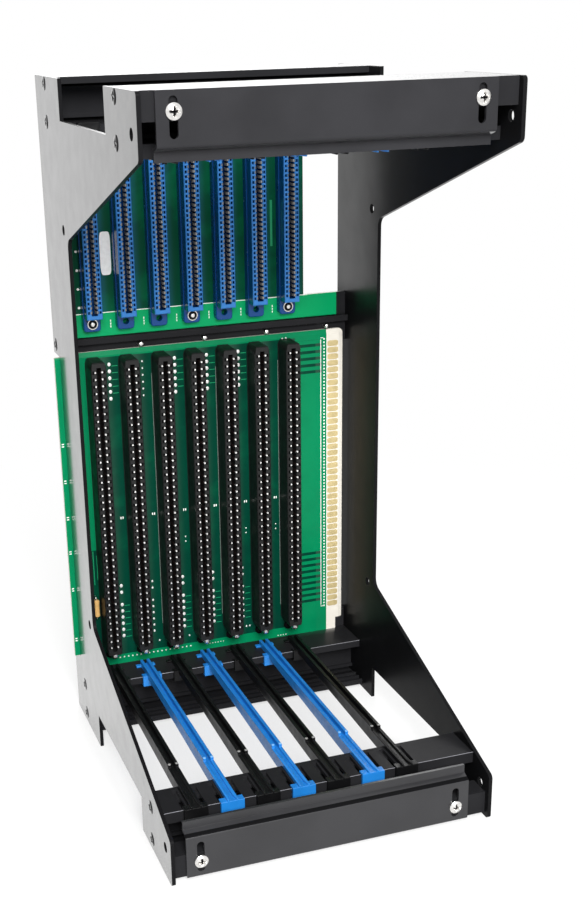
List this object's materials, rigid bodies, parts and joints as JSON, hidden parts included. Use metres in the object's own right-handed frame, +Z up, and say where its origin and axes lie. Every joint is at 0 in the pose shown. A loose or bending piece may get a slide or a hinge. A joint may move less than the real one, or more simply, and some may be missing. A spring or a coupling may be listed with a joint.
{
  "type": "subrack card cage",
  "caption": "Tall open-fronted cage of C-shaped side plates tied by extruded rails, with card guides above and below and backplane connectors for plug-in circuit boards.",
  "frame": {"origin": "under the middle of the whole part, level with the lower edges of the side plates it stands on", "axes": "+X to the right seen from the open front, +Y to the rear where the backplanes are, +Z up"},
  "size_m": [0.1772, 0.2048, 0.3689],
  "materials": {
    "black_anodised": "black anodised, satin",
    "screw_steel": "bright nickel plate",
    "circuit_board": "glass epoxy under green solder mask",
    "blue_connector": "moulded, semi-gloss",
    "black_connector": "moulded, matte",
    "blue_guide": "moulded, semi-gloss",
    "black_guide": "moulded, matte",
    "amber_resistor": "lacquered"
  },
  "bodies": {
    "cage": {"bottom_card_guide_1": "black_guide", "bottom_card_guide_2": "blue_guide", "bottom_card_guide_3": "black_guide", "bottom_card_guide_4": "blue_guide", "bottom_card_guide_5": "black_guide", "bottom_card_guide_6": "blue_guide", "bottom_card_guide_7": "black_guide", "bottom_front_rail": "black_anodised", "bottom_rear_rail": "black_anodised", "bottom_retainer_screws": "screw_steel", "end_resistor": "amber_resistor", "left_plate_screws": "screw_steel", "left_side_plate": "black_anodised", "lower_backplane": "circuit_board", "lower_backplane_screws": "screw_steel", "lower_connector_1": "black_connector", "lower_connector_2": "black_connector", "lower_connector_3": "black_connector", "lower_connector_4": "black_connector", "lower_connector_5": "black_connector", "lower_connector_6": "black_connector", "lower_connector_7": "black_connector", "middle_rail": "black_anodised", "middle_rail_screws": "screw_steel", "right_plate_screws": "screw_steel", "right_side_plate": "black_anodised", "top_card_guide_1": "black_guide", "top_card_guide_2": "blue_guide", "top_card_guide_3": "black_guide", "top_card_guide_4": "blue_guide", "top_card_guide_5": "black_guide", "top_card_guide_6": "blue_guide", "top_card_guide_7": "black_guide", "top_front_rail": "black_anodised", "top_rear_rail": "black_anodised", "top_retainer_screws": "screw_steel", "upper_backplane": "circuit_board", "upper_connector_1": "blue_connector", "upper_connector_2": "blue_connector", "upper_connector_3": "blue_connector", "upper_connector_4": "blue_connector", "upper_connector_5": "blue_connector", "upper_connector_6": "blue_connector", "upper_connector_7": "blue_connector", "upper_connector_screws": "screw_steel"},
    "bottom_retainer": {"bottom_retainer_bar": "black_anodised"},
    "top_retainer": {"top_retainer_bar": "black_anodised"}
  },
  "joints": [
    {"name": "bottom_retainer_slide", "type": "slide", "parent": "cage", "child": "bottom_retainer", "axis": [0, 0, 1], "range_m": [-0.0088, 0.0041]},
    {"name": "top_retainer_slide", "type": "slide", "parent": "cage", "child": "top_retainer", "axis": [0, 0, 1], "range_m": [-0.0041, 0.0088]}
  ]
}
